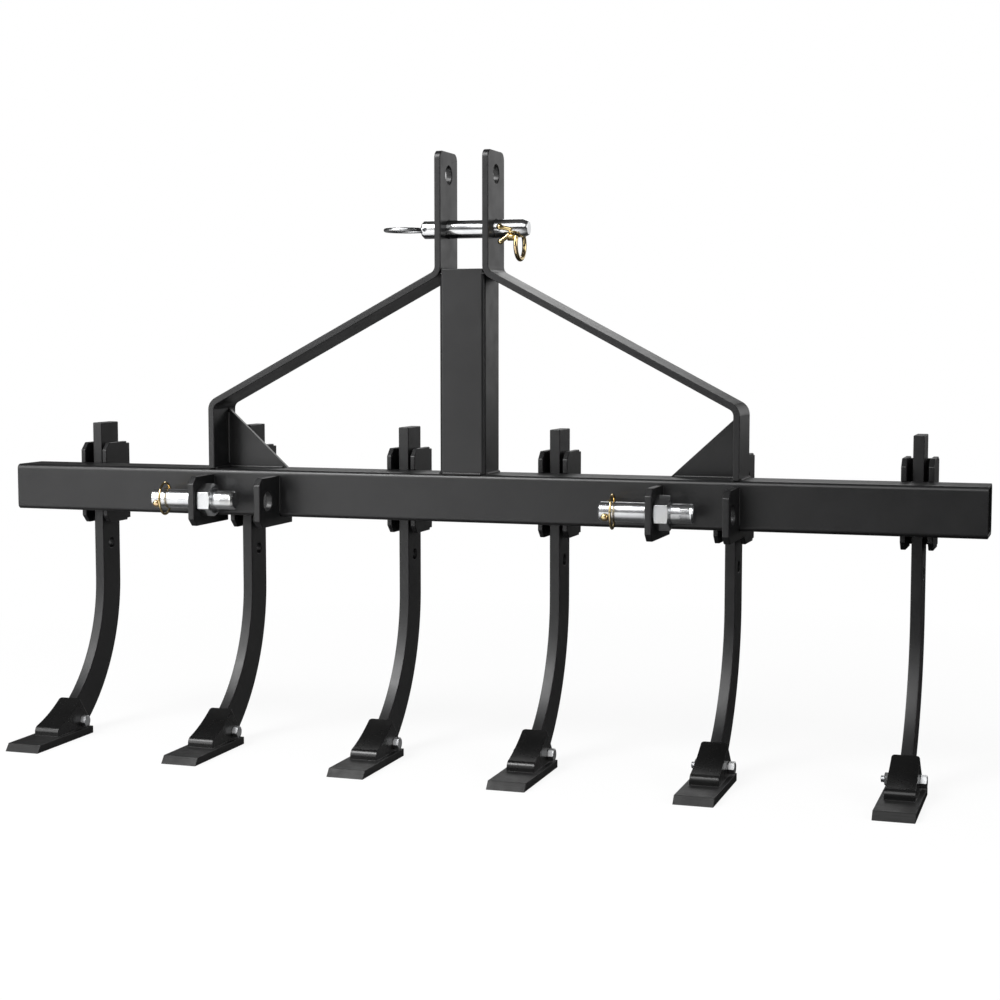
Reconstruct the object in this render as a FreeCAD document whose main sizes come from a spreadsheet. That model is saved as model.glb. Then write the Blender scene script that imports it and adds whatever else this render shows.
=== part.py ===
import FreeCAD, Part
import math
import os
import Sketcher
from FreeCAD import Vector

document = FreeCAD.newDocument("Cultivator")
sheet = document.addObject("Spreadsheet::Sheet", "Sizes")

# Driving sizes: name, value in millimetres, degrees or copies
driving_sizes = [
    ("toolbar_length", 1244),
    ("toolbar_height", 59),
    ("toolbar_depth", 63),
    ("toolbar_wall", 4),
    ("toolbar_corner", 6),
    ("toolbar_clearance", 294),
    ("hitch_spread", 683),
    ("mast_post_width", 58.5),
    ("mast_post_depth", 58),
    ("mast_post_wall", 4),
    ("mast_post_corner", 5),
    ("mast_cap_thickness", 6),
    ("strap_thickness", 8),
    ("strap_width", 62),
    ("strap_gap", 53),
    ("strap_bend", 9),
    ("strap_knee_height", 85),
    ("strap_slope", 27.8),
    ("strap_top_margin", 28),
    ("strap_corner", 10),
    ("top_pin_height", 297.5),
    ("spare_hole_rise", 65.5),
    ("top_pin_diameter", 22.2),
    ("top_pin_reach", 76),
    ("top_pin_handle_reach", 60.2),
    ("top_pin_taper_length", 6.5),
    ("top_pin_taper", 2.8),
    ("gusset_thickness", 6.3),
    ("gusset_height", 76),
    ("gusset_foot", 83),
    ("gusset_setback", 41.5),
    ("ear_thickness", 8),
    ("ear_gap", 82.5),
    ("ear_reach", 57),
    ("ear_drop", 10),
    ("ear_rise", 52),
    ("ear_heel", 38.5),
    ("ear_chamfer", 9),
    ("lower_pin_diameter", 24),
    ("lower_pin_length", 59.5),
    ("lower_pin_setout", 33),
    ("lower_pin_height", 22.3),
    ("lower_pin_thread_length", 45.8),
    ("lower_collar_diameter", 27),
    ("lower_collar_length", 4),
    ("lower_nut_flats", 36),
    ("lower_nut_height", 18.5),
    ("lynch_diameter", 8),
    ("lynch_length", 42),
    ("lynch_tip_reach", 17),
    ("lynch_head_width", 12),
    ("lynch_head_length", 9),
    ("lynch_tilt", 26),
    ("lynch_setback", 9),
    ("top_lynch_setback", 20.5),
    ("shank_thickness", 13),
    ("shank_depth", 43.5),
    ("shank_end_margin", 83.2),
    ("shank_inner_spacing", 199.6),
    ("shank_top_height", 53),
    ("shank_radius", 187),
    ("shank_toe_lift", 9),
    ("shank_hole_diameter", 14),
    ("shank_hole_drop", 51),
    ("clamp_gap", 25.5),
    ("clamp_plate", 6.2),
    ("clamp_overlap", 9.6),
    ("clamp_rise", 26.5),
    ("clamp_drop", 21.5),
    ("clamp_chamfer", 9.5),
    ("bridge_thickness", 8),
    ("bridge_margin", 5),
    ("set_screw_head_width", 12),
    ("set_screw_reach", 18.9),
    ("set_screw_nut_flats", 18),
    ("set_screw_nut_height", 9),
    ("share_length", 134),
    ("share_width", 46.6),
    ("share_thickness", 9.4),
    ("share_bevel", 7.5),
    ("boot_width", 31.5),
    ("boot_foot_width", 34.8),
    ("boot_cover", 4),
    ("boot_lip_setback", 58),
    ("boot_lip_wall", 10),
    ("boot_top_angle", 54),
    ("boot_mouth_angle", 8),
    ("boot_side_depth", 24),
    ("boot_heel", 2),
    ("boot_corner", 4),
    ("boot_lip_radius", 4),
    ("share_bolt_diameter", 8),
    ("share_bolt_flats", 13.5),
    ("share_bolt_head", 6),
    ("share_nut_height", 7),
    ("share_bolt_tip", 4),
    ("share_bolt_margin", 15),
    ("share_bolt_height", 18.6),
    ("shanks_each_side", 3),
    ("slide_clearance", 0.3),
    ("pin_clearance", 0.2),
]
for row, (alias, value) in enumerate(driving_sizes, start=1):
    sheet.set(f"A{row}", alias)
    sheet.set(f"B{row}", str(value))
    sheet.setAlias(f"B{row}", alias)
document.recompute()


def size(name):
    """The expression that reads one cell."""
    return f"Sizes.{name}"


def number(expression):
    """The value of an expression, as a plain number."""
    return float(sheet.evalExpression(expression))


# Places that follow from the sizes, as expressions
toolbar_bottom = size("toolbar_clearance")
toolbar_top = f"({toolbar_bottom} + Sizes.toolbar_height)"
toolbar_middle = "(Sizes.toolbar_depth / 2)"
leg_outside = "(Sizes.hitch_spread / 2)"
leg_inside = f"({leg_outside} - Sizes.strap_thickness)"
neck_inside = "(Sizes.strap_gap / 2)"
neck_outside = f"({neck_inside} + Sizes.strap_thickness)"
spare_hole = f"({toolbar_top} + Sizes.top_pin_height + Sizes.spare_hole_rise)"
strap_top = f"({spare_hole} + Sizes.strap_top_margin)"
knee_height = f"({toolbar_top} + Sizes.strap_knee_height)"
neck_height = f"({knee_height} + ({leg_outside} - {neck_outside}) * tan(Sizes.strap_slope))"
bend_shift = "(Sizes.strap_thickness * tan(45 - Sizes.strap_slope / 2))"
outer_bend = "(Sizes.strap_bend + Sizes.strap_thickness)"
shank_front = "(Sizes.toolbar_depth + Sizes.slide_clearance)"
shank_back = f"({shank_front} + Sizes.shank_depth)"
shank_run = "(Sizes.toolbar_length / 2 - Sizes.shank_end_margin - Sizes.shank_inner_spacing / 2)"
bend_centre = f"({shank_front} - Sizes.shank_radius)"
bend_height = "(Sizes.shank_radius + Sizes.shank_toe_lift)"
boot_lip = "(Sizes.boot_lip_setback - Sizes.share_length)"
shank_nose = f"({boot_lip} + Sizes.boot_lip_wall)"
lower_pin_axis = f"({toolbar_bottom} + Sizes.lower_pin_height)"
top_pin_axis = f"({toolbar_top} + Sizes.top_pin_height)"


def add_body(label):
    """A body that carries the name of its sub-part."""
    body = document.addObject("PartDesign::Body", label)
    body.Label = label
    return body


def add_sketch(body, plane_role, offset):
    """A sketch on one of the body's own planes, moved along the plane's normal."""
    plane = next(item for item in body.Origin.OriginFeatures if item.Role == plane_role)
    sketch = body.newObject("Sketcher::SketchObject", f"{body.Name}_sketch")
    sketch.AttachmentSupport = (plane, [""])
    sketch.MapMode = "FlatFace"
    sketch.setExpression("AttachmentOffset.Base.z", offset)
    return sketch


def place_point(sketch, edge, end, across, up):
    """Hold one end of an edge at an expression across and up from the sketch's origin."""
    for kind, expression in (("DistanceX", across), ("DistanceY", up)):
        index = sketch.addConstraint(Sketcher.Constraint(kind, -1, 1, edge, end, number(expression)))
        sketch.setExpression(f"Constraints[{index}]", expression)


def arc_through(start, finish, radius):
    """An arc between two points, counter-clockwise for a positive radius."""
    chord = finish - start
    half = chord.Length / 2
    rise = math.sqrt(max(radius * radius - half * half, 0))
    side = Vector(-chord.y, chord.x, 0).normalize()
    sign = 1 if radius > 0 else -1
    centre = start + chord * 0.5 + side * rise * sign
    middle = centre - side * abs(radius) * sign
    return Part.Arc(start, middle, finish)


def draw_outline(sketch, corners):
    """A closed outline. Each corner: across, up, radius of the edge that leaves it (None is straight)."""
    points = [Vector(number(across), number(up), 0) for across, up, radius in corners]
    first = sketch.GeometryCount
    for index, (across, up, radius) in enumerate(corners):
        start = points[index]
        finish = points[(index + 1) % len(points)]
        if radius is None:
            sketch.addGeometry(Part.LineSegment(start, finish), False)
        else:
            sketch.addGeometry(arc_through(start, finish, number(radius)), False)
    ends = []
    for index, (across, up, radius) in enumerate(corners):
        clockwise = radius is not None and number(radius) < 0
        ends.append((2, 1) if clockwise else (1, 2))
    for index, (across, up, radius) in enumerate(corners):
        edge = first + index
        following = (index + 1) % len(corners)
        sketch.addConstraint(
            Sketcher.Constraint("Coincident", edge, ends[index][1], first + following, ends[following][0])
        )
        place_point(sketch, edge, ends[index][0], across, up)
        if radius is not None:
            constraint = sketch.addConstraint(Sketcher.Constraint("Radius", edge, abs(number(radius))))
            sketch.setExpression(f"Constraints[{constraint}]", f"abs({radius})")


def draw_circle(sketch, across, up, diameter):
    """A full circle."""
    centre = Vector(number(across), number(up), 0)
    edge = sketch.addGeometry(Part.Circle(centre, Vector(0, 0, 1), number(diameter) / 2), False)
    place_point(sketch, edge, 3, across, up)
    constraint = sketch.addConstraint(Sketcher.Constraint("Diameter", edge, number(diameter)))
    sketch.setExpression(f"Constraints[{constraint}]", diameter)


def rectangle(low_across, low_up, high_across, high_up):
    """Corners of an upright rectangle."""
    return [
        (low_across, low_up, None),
        (high_across, low_up, None),
        (high_across, high_up, None),
        (low_across, high_up, None),
    ]


def rounded_rectangle(low_across, low_up, high_across, high_up, corner):
    """Corners of a rectangle whose corners are arcs."""
    return [
        (f"{low_across} + {corner}", low_up, None),
        (f"{high_across} - {corner}", low_up, corner),
        (high_across, f"{low_up} + {corner}", None),
        (high_across, f"{high_up} - {corner}", corner),
        (f"{high_across} - {corner}", high_up, None),
        (f"{low_across} + {corner}", high_up, corner),
        (low_across, f"{high_up} - {corner}", None),
        (low_across, f"{low_up} + {corner}", corner),
    ]


def hexagon(across, up, flats, first_turn=30):
    """Corners of a hexagon, with two flats upright at the usual first turn of 30 degrees."""
    reach = f"({flats} / 2 / cos(30))"
    return [
        (f"{across} + {reach} * cos({turn})", f"{up} + {reach} * sin({turn})", None)
        for turn in range(first_turn, first_turn + 360, 60)
    ]


def add_pad(body, sketch, length):
    """Extrude along the sketch's normal."""
    pad = body.newObject("PartDesign::Pad", f"{body.Name}_pad")
    pad.Profile = sketch
    pad.Type = "Length"
    pad.setExpression("Length", length)
    document.recompute()
    return pad


def add_cut(body, sketch, length):
    """Cut along the sketch's normal, and check that something was taken away."""
    before = body.Shape.Volume
    cut = body.newObject("PartDesign::Pocket", f"{body.Name}_cut")
    cut.Profile = sketch
    cut.Type = "Length"
    cut.Reversed = True
    cut.setExpression("Length", length)
    document.recompute()
    if body.Shape.Volume >= before:
        raise RuntimeError(f"{body.Label}: the cut took nothing away")
    return cut


def add_turning(body, sketch):
    """Revolve a half section about the sketch's horizontal axis."""
    turning = body.newObject("PartDesign::Revolution", f"{body.Name}_turning")
    turning.Profile = sketch
    turning.ReferenceAxis = (sketch, ["H_Axis"])
    turning.Angle = 360
    document.recompute()
    return turning


def add_round(body, kind, amount, chosen):
    """Round or bevel the edges that the test picks, by their middle point and direction."""
    feature = body.Tip
    names = []
    for index, edge in enumerate(feature.Shape.Edges, start=1):
        first, last = edge.ParameterRange
        middle = edge.valueAt((first + last) / 2)
        direction = edge.tangentAt((first + last) / 2)
        if chosen(middle, direction):
            names.append(f"Edge{index}")
    rounding = body.newObject(f"PartDesign::{kind}", f"{body.Name}_{kind.lower()}")
    rounding.Base = (feature, names)
    rounding.setExpression("Radius" if kind == "Fillet" else "Size", amount)
    document.recompute()
    return rounding


def place_body(body, across="0", along="0", up="0"):
    """Place a body drawn from the floor and the toolbar's front, with the origin on the lower hitch axis."""
    body.setExpression("Placement.Base.x", across)
    body.setExpression("Placement.Base.y", f"{along} + Sizes.lower_pin_setout")
    body.setExpression("Placement.Base.z", f"{up} - {lower_pin_axis}")


def tilt_body(body, angle):
    """Turn a placed body about the X axis."""
    place = body.Placement
    body.Placement = FreeCAD.Placement(place.Base, FreeCAD.Rotation(Vector(1, 0, 0), number(angle)))
    body.setExpression("Placement.Rotation.Angle", angle)


def near(value, target, slack=0.01):
    return abs(value - target) < slack


def make_toolbar():
    body = add_body("toolbar")
    sketch = add_sketch(body, "YZ_Plane", "-Sizes.toolbar_length / 2")
    wall = size("toolbar_wall")
    draw_outline(
        sketch,
        rounded_rectangle("0", toolbar_bottom, size("toolbar_depth"), toolbar_top, size("toolbar_corner")),
    )
    draw_outline(
        sketch,
        rounded_rectangle(
            wall,
            f"{toolbar_bottom} + {wall}",
            f"Sizes.toolbar_depth - {wall}",
            f"{toolbar_top} - {wall}",
            f"(Sizes.toolbar_corner - {wall} / 2)",
        ),
    )
    add_pad(body, sketch, size("toolbar_length"))
    place_body(body)


def make_mast_post():
    body = add_body("mast_post")
    half = "(Sizes.mast_post_width / 2)"
    wall = size("mast_post_wall")
    front = f"({toolbar_middle} - Sizes.mast_post_depth / 2)"
    back = f"({toolbar_middle} + Sizes.mast_post_depth / 2)"
    # The post ends just under the round of the bends that rest on its two side walls
    round_centre = f"({neck_inside} + {outer_bend})"
    round_height = f"({neck_height} - {bend_shift} + {outer_bend} * tan(45 - Sizes.strap_slope / 2))"
    post_top = (
        f"({round_height} - sqrt({outer_bend} ^ 2 - ({round_centre} - {half}) ^ 2)"
        " - Sizes.slide_clearance)"
    )
    sketch = add_sketch(body, "XY_Plane", toolbar_top)
    draw_outline(sketch, rounded_rectangle(f"-{half}", front, half, back, size("mast_post_corner")))
    draw_outline(
        sketch,
        rounded_rectangle(
            f"-{half} + {wall}",
            f"{front} + {wall}",
            f"{half} - {wall}",
            f"{back} - {wall}",
            f"(Sizes.mast_post_corner - {wall} / 2)",
        ),
    )
    add_pad(body, sketch, f"{post_top} - {toolbar_top}")
    cap = add_sketch(body, "XY_Plane", post_top)
    draw_outline(cap, rectangle(f"-{neck_inside}", front, neck_inside, back))
    add_pad(body, cap, size("mast_cap_thickness"))
    place_body(body)


def make_strap(label, side):
    body = add_body(label)
    sketch = add_sketch(body, "XZ_Plane", f"-({toolbar_middle} + Sizes.strap_width / 2)")
    path = [
        (leg_outside, toolbar_top),
        (leg_outside, knee_height),
        (neck_outside, neck_height),
        (neck_outside, strap_top),
        (neck_inside, strap_top),
        (neck_inside, f"({neck_height} - {bend_shift})"),
        (leg_inside, f"({knee_height} - {bend_shift})"),
        (leg_inside, toolbar_top),
    ]
    draw_outline(sketch, [(f"{side} * {across}", up, None) for across, up in path])
    add_pad(body, sketch, size("strap_width"))

    # Bends: the corner of the path that each radius rounds
    for radius, corners in ((size("strap_bend"), (2, 6)), (outer_bend, (1, 5))):
        spots = [(side * number(path[corner][0]), number(path[corner][1])) for corner in corners]
        add_round(
            body,
            "Fillet",
            radius,
            lambda middle, direction: any(near(middle.x, x) and near(middle.z, z) for x, z in spots),
        )

    top = number(strap_top)
    add_round(
        body,
        "Fillet",
        size("strap_corner"),
        lambda middle, direction: near(middle.z, top) and near(abs(direction.x), 1),
    )

    hole_start = neck_inside if side > 0 else f"-{neck_outside}"
    holes = add_sketch(body, "YZ_Plane", f"{hole_start} - Sizes.strap_thickness")
    diameter = "(Sizes.top_pin_diameter + Sizes.pin_clearance)"
    draw_circle(holes, toolbar_middle, top_pin_axis, diameter)
    draw_circle(holes, toolbar_middle, spare_hole, diameter)
    add_cut(body, holes, "Sizes.strap_thickness * 3")
    place_body(body)


def make_gusset(label, side):
    body = add_body(label)
    sketch = add_sketch(body, "XZ_Plane", "-(Sizes.gusset_setback + Sizes.gusset_thickness)")
    corners = [
        (f"{side} * {leg_inside}", toolbar_top, None),
        (f"{side} * ({leg_inside} - Sizes.gusset_foot)", toolbar_top, None),
        (f"{side} * {leg_inside}", f"{toolbar_top} + Sizes.gusset_height", None),
    ]
    draw_outline(sketch, corners)
    add_pad(body, sketch, size("gusset_thickness"))
    place_body(body)


# Hitch ears: label, side of the toolbar, whether it is the outer of its pair
hitch_ears = [
    ("hitch_ear_left_outer", -1, True),
    ("hitch_ear_left_inner", -1, False),
    ("hitch_ear_right_inner", 1, False),
    ("hitch_ear_right_outer", 1, True),
]


def ear_inside(outer):
    """Distance from the centre to the near face of an ear."""
    if outer:
        return f"({leg_outside} - Sizes.ear_thickness)"
    return f"({leg_outside} - Sizes.ear_thickness * 2 - Sizes.ear_gap)"


def make_hitch_ear(label, side, outer):
    body = add_body(label)
    low = f"({toolbar_bottom} - Sizes.ear_drop)"
    high = f"({toolbar_bottom} + Sizes.ear_rise)"
    start = f"-({ear_inside(outer)} + Sizes.ear_thickness)" if side < 0 else ear_inside(outer)
    sketch = add_sketch(body, "YZ_Plane", start)
    bevel = size("ear_chamfer")
    corners = [
        (f"-Sizes.ear_reach + {bevel}", low, None),
        (size("ear_heel"), low, None),
        (size("ear_heel"), toolbar_bottom, None),
        (size("toolbar_corner"), toolbar_bottom, "-Sizes.toolbar_corner"),
        ("0", f"{toolbar_bottom} + Sizes.toolbar_corner", None),
        ("0", high, None),
        (f"-Sizes.ear_reach + {bevel}", high, None),
        ("-Sizes.ear_reach", f"{high} - {bevel}", None),
        ("-Sizes.ear_reach", f"{low} + {bevel}", None),
    ]
    draw_outline(sketch, corners)
    bore = "Sizes.lower_pin_diameter + Sizes.pin_clearance"
    draw_circle(sketch, "-Sizes.lower_pin_setout", lower_pin_axis, bore)
    add_pad(body, sketch, size("ear_thickness"))
    place_body(body)


def add_lynch_hole(body, across):
    """The cross hole that a lynch pin goes through, before its pin is tilted."""
    hole = add_sketch(body, "XZ_Plane", "-Sizes.lower_pin_diameter")
    draw_circle(hole, across, "0", "Sizes.lynch_diameter + Sizes.pin_clearance * 2")
    add_cut(body, hole, "Sizes.lower_pin_diameter * 2")


def make_lower_pin(label, shoulder):
    """A hitch pin that points to the left of its ear, with a threaded end through the ear."""
    body = add_body(label)
    sketch = add_sketch(body, "XZ_Plane", "0")
    radius = "(Sizes.lower_pin_diameter / 2)"
    collar = "(Sizes.lower_collar_diameter / 2)"
    bevel = "(Sizes.lower_pin_diameter / 12)"
    tail = "(Sizes.ear_thickness + Sizes.lower_pin_thread_length)"
    corners = [
        ("-Sizes.lower_pin_length", "0", None),
        (tail, "0", None),
        (tail, f"{radius} - {bevel}", None),
        (f"{tail} - {bevel}", radius, None),
        ("0", radius, None),
        ("0", collar, None),
        ("-Sizes.lower_collar_length", collar, None),
        ("-Sizes.lower_collar_length", radius, None),
        (f"-Sizes.lower_pin_length + {bevel}", radius, None),
        ("-Sizes.lower_pin_length", f"{radius} - {bevel}", None),
    ]
    draw_outline(sketch, corners)
    add_turning(body, sketch)
    add_lynch_hole(body, "-Sizes.lower_pin_length + Sizes.lynch_setback")
    place_body(body, shoulder, "-Sizes.lower_pin_setout", lower_pin_axis)
    tilt_body(body, "Sizes.lynch_tilt")


def make_lower_nut(label, seat):
    body = add_body(label)
    sketch = add_sketch(body, "YZ_Plane", "0")
    draw_outline(sketch, hexagon("0", "0", size("lower_nut_flats")))
    draw_circle(sketch, "0", "0", "Sizes.lower_pin_diameter + Sizes.pin_clearance")
    add_pad(body, sketch, size("lower_nut_height"))
    place_body(body, seat, "-Sizes.lower_pin_setout", lower_pin_axis)


def make_top_link_pin():
    """A plain pin with tapered ends, the left one shaped to carry a pull ring."""
    body = add_body("top_link_pin")
    sketch = add_sketch(body, "XZ_Plane", "0")
    radius = "(Sizes.top_pin_diameter / 2)"
    corners = [
        ("-Sizes.top_pin_handle_reach", "0", None),
        ("Sizes.top_pin_reach", "0", None),
        ("Sizes.top_pin_reach", f"{radius} - Sizes.top_pin_taper", None),
        ("Sizes.top_pin_reach - Sizes.top_pin_taper_length", radius, None),
        ("-Sizes.top_pin_handle_reach + Sizes.top_pin_taper", radius, None),
        ("-Sizes.top_pin_handle_reach", f"{radius} - Sizes.top_pin_taper", None),
    ]
    draw_outline(sketch, corners)
    add_turning(body, sketch)
    add_lynch_hole(body, "Sizes.top_pin_reach - Sizes.top_lynch_setback")
    place_body(body, "0", toolbar_middle, top_pin_axis)
    tilt_body(body, "Sizes.lynch_tilt")


def make_lynch_pin(label, facing, across, along, up):
    """A locking pin through a larger pin, its tip (facing 1) or its head (facing -1) to the front."""
    body = add_body(label)
    tip = "Sizes.lynch_tip_reach"
    head = f"({tip} - Sizes.lynch_length)"
    shaft = add_sketch(body, "XZ_Plane", head)
    draw_circle(shaft, "0", "0", size("lynch_diameter"))
    add_pad(body, shaft, size("lynch_length"))
    block = add_sketch(body, "XZ_Plane", head)
    half = "(Sizes.lynch_head_width / 2)"
    draw_outline(block, rectangle(f"-{half}", f"-{half}", half, half))
    add_pad(body, block, size("lynch_head_length"))
    place_body(body, across, along, up)
    tilt_body(body, "Sizes.lynch_tilt" if facing > 0 else "Sizes.lynch_tilt + 180")


def make_clamp(label, across, sides_by_leg):
    """Two notched plates that hook over the toolbar's rear, joined behind by a bridge."""
    body = add_body(label)
    half = "(Sizes.clamp_gap / 2 + Sizes.clamp_plate)"
    low = f"({toolbar_bottom} - Sizes.clamp_drop)"
    high = f"({toolbar_top} + Sizes.clamp_rise)"
    front = "(Sizes.toolbar_depth - Sizes.clamp_overlap)"
    rear = f"({shank_back} + Sizes.slide_clearance)"
    corner = size("toolbar_corner")
    bevel = size("clamp_chamfer")
    sketch = add_sketch(body, "YZ_Plane", f"-{half}")
    corners = [
        (f"{front} + {bevel}", low, None),
        (rear, low, None),
        (rear, high, None),
        (f"{front} + {bevel}", high, None),
        (front, f"{high} - {bevel}", None),
        (front, toolbar_top, None),
        (f"Sizes.toolbar_depth - {corner}", toolbar_top, f"-{corner}"),
        ("Sizes.toolbar_depth", f"{toolbar_top} - {corner}", None),
        ("Sizes.toolbar_depth", f"{toolbar_bottom} + {corner}", f"-{corner}"),
        (f"Sizes.toolbar_depth - {corner}", toolbar_bottom, None),
        (front, toolbar_bottom, None),
        (front, f"{low} + {bevel}", None),
    ]
    draw_outline(sketch, corners)
    add_pad(body, sketch, f"{half} * 2")

    bridge = add_sketch(body, "XZ_Plane", f"-({rear} + Sizes.bridge_thickness)")
    bridge_low = f"{toolbar_bottom} + Sizes.bridge_margin"
    bridge_high = f"{toolbar_top} - Sizes.bridge_margin"
    draw_outline(bridge, rectangle(f"-{half}", bridge_low, half, bridge_high))
    add_pad(body, bridge, size("bridge_thickness"))

    slot = add_sketch(body, "XY_Plane", f"{low} - 1")
    draw_outline(slot, rectangle("-Sizes.clamp_gap / 2", "0", "Sizes.clamp_gap / 2", rear))
    add_cut(body, slot, f"{high} - {low} + 2")

    # Set screw with its lock nut
    middle = f"({toolbar_bottom} + Sizes.toolbar_height / 2)"
    bridge_back = f"({rear} + Sizes.bridge_thickness)"
    nut = add_sketch(body, "XZ_Plane", f"-({bridge_back} + Sizes.set_screw_nut_height)")
    draw_outline(nut, hexagon("0", middle, size("set_screw_nut_flats"), 0))
    add_pad(body, nut, size("set_screw_nut_height"))
    head = add_sketch(body, "XZ_Plane", f"-({bridge_back} + Sizes.set_screw_reach)")
    reach = "(Sizes.set_screw_head_width / 2)"
    draw_outline(head, rectangle(f"-{reach}", f"{middle} - {reach}", reach, f"{middle} + {reach}"))
    add_pad(body, head, size("set_screw_reach"))

    # A plate beside a mast leg is trimmed to stand behind it
    for side in sides_by_leg:
        trim = add_sketch(body, "XY_Plane", toolbar_top)
        leg_back = f"({toolbar_middle} + Sizes.strap_width / 2 + Sizes.slide_clearance)"
        near_edge, far_edge = "Sizes.clamp_gap / 2", f"{half} + 1"
        if side < 0:
            near_edge, far_edge = f"-({far_edge})", f"-{near_edge}"
        draw_outline(trim, rectangle(near_edge, "0", far_edge, leg_back))
        add_cut(body, trim, "Sizes.clamp_rise + 1")
    place_body(body, across)


def arc_height(radius, along):
    """Height at which a curve about the shank's bend centre passes a place along Y."""
    return f"({bend_height} - sqrt(({radius}) ^ 2 - ({along} - {bend_centre}) ^ 2))"


def make_shank(label, across):
    """A flat bar on edge, straight through its clamp and curved forward below it."""
    body = add_body(label)
    top = f"({toolbar_top} + Sizes.shank_top_height)"
    back_radius = "(Sizes.shank_radius + Sizes.shank_depth)"
    foot = "(Sizes.share_thickness + Sizes.slide_clearance)"
    heel = f"({bend_centre} + sqrt({back_radius} ^ 2 - ({bend_height} - {foot}) ^ 2))"
    sketch = add_sketch(body, "YZ_Plane", "-Sizes.shank_thickness / 2")
    corners = [
        (shank_front, top, None),
        (shank_front, bend_height, "-Sizes.shank_radius"),
        (shank_nose, arc_height("Sizes.shank_radius", shank_nose), None),
        (shank_nose, foot, None),
        (heel, foot, back_radius),
        (shank_back, bend_height, None),
        (shank_back, top, None),
    ]
    draw_outline(sketch, corners)
    shank_middle = f"({shank_front} + {shank_back}) / 2"
    hole_height = f"{toolbar_bottom} - Sizes.shank_hole_drop"
    draw_circle(sketch, shank_middle, hole_height, size("shank_hole_diameter"))
    add_pad(body, sketch, size("shank_thickness"))
    place_body(body, across)


def make_share(label, across):
    """A bevelled sole plate with the boot that takes the end of the shank, and their bolt."""
    body = add_body(label)
    plate = add_sketch(body, "YZ_Plane", "-Sizes.share_width / 2")
    thick = size("share_thickness")
    corners = [
        ("-Sizes.share_length", "0", None),
        ("0", "0", None),
        ("0", thick, None),
        ("-Sizes.share_length + Sizes.share_bevel", thick, None),
    ]
    draw_outline(plate, corners)
    add_pad(body, plate, size("share_width"))

    cover_radius = "(Sizes.shank_radius - Sizes.slide_clearance - Sizes.boot_cover)"
    crest = f"({bend_centre} + {cover_radius} * cos(Sizes.boot_top_angle))"
    crest_height = f"({bend_height} - {cover_radius} * sin(Sizes.boot_top_angle))"
    shoulder = f"({crest} + Sizes.boot_side_depth * cos(Sizes.boot_top_angle))"
    shoulder_height = f"({crest_height} - Sizes.boot_side_depth * sin(Sizes.boot_top_angle))"
    boot = add_sketch(body, "YZ_Plane", "-Sizes.boot_foot_width / 2")
    corners = [
        (boot_lip, thick, None),
        (size("boot_heel"), thick, None),
        (shoulder, shoulder_height, None),
        (crest, crest_height, f"-{cover_radius}"),
        (boot_lip, arc_height(cover_radius, boot_lip), None),
    ]
    draw_outline(boot, corners)
    add_pad(body, boot, size("boot_foot_width"))

    # Cheeks lean in to the narrower top
    half, foot_half = "(Sizes.boot_width / 2)", "(Sizes.boot_foot_width / 2)"
    for sign in ("-", ""):
        lean = add_sketch(body, "XZ_Plane", "-Sizes.shank_depth")
        wedge = [
            (f"{sign}{foot_half}", thick, None),
            (f"{sign}{foot_half}", f"{crest_height} + 1", None),
            (f"{sign}{half}", f"{crest_height} + 1", None),
        ]
        draw_outline(lean, wedge)
        add_cut(body, lean, "Sizes.shank_depth + Sizes.share_length")

    # Rounded top corners, and the bend where the cover turns down to the plate
    top_middle = (number(crest) + number(shoulder)) / 2
    lip_edge = (number(boot_lip), number(arc_height(cover_radius, boot_lip)))
    add_round(
        body,
        "Fillet",
        size("boot_corner"),
        lambda middle, direction: near(middle.y, top_middle, 1) and near(abs(middle.x), number(half), 1),
    )
    add_round(
        body,
        "Fillet",
        size("boot_lip_radius"),
        lambda middle, direction: near(middle.y, lip_edge[0]) and near(middle.z, lip_edge[1]),
    )

    inner_radius = "(Sizes.shank_radius - Sizes.slide_clearance)"
    wall = f"({shank_nose} - Sizes.slide_clearance)"
    slot_half = "(Sizes.shank_thickness / 2 + Sizes.slide_clearance)"
    slot = add_sketch(body, "YZ_Plane", f"-{slot_half}")
    beyond = "(Sizes.boot_side_depth + Sizes.boot_heel)"
    mouth = "(Sizes.boot_top_angle - Sizes.boot_mouth_angle)"
    opening = f"({bend_centre} + {inner_radius} * cos({mouth}))"
    opening_height = f"({bend_height} - {inner_radius} * sin({mouth}))"
    corners = [
        (wall, thick, None),
        (f"{opening} + {beyond}", thick, None),
        (f"{opening} + {beyond}", opening_height, None),
        (opening, opening_height, f"-{inner_radius}"),
        (wall, arc_height(inner_radius, wall), None),
    ]
    draw_outline(slot, corners)
    add_cut(body, slot, f"{slot_half} * 2")

    # Bolt across the boot: nut and tip on the left, head on the right
    along = "-Sizes.share_bolt_margin"
    ends = [
        (f"-({foot_half} + Sizes.share_nut_height)", f"{foot_half} - {half} + Sizes.share_nut_height"),
        (half, f"{foot_half} - {half} + Sizes.share_bolt_head"),
    ]
    for start, length in ends:
        flats = add_sketch(body, "YZ_Plane", start)
        draw_outline(flats, hexagon(along, size("share_bolt_height"), size("share_bolt_flats")))
        add_pad(body, flats, length)
    tip = add_sketch(body, "YZ_Plane", f"-({foot_half} + Sizes.share_nut_height + Sizes.share_bolt_tip)")
    draw_circle(tip, along, size("share_bolt_height"), size("share_bolt_diameter"))
    add_pad(body, tip, size("share_bolt_tip"))
    place_body(body, across)


make_toolbar()
make_mast_post()
for name, side in (("left", -1), ("right", 1)):
    make_strap(f"mast_strap_{name}", side)
    make_gusset(f"gusset_{name}", side)
for label, side, outer in hitch_ears:
    make_hitch_ear(label, side, outer)

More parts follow.
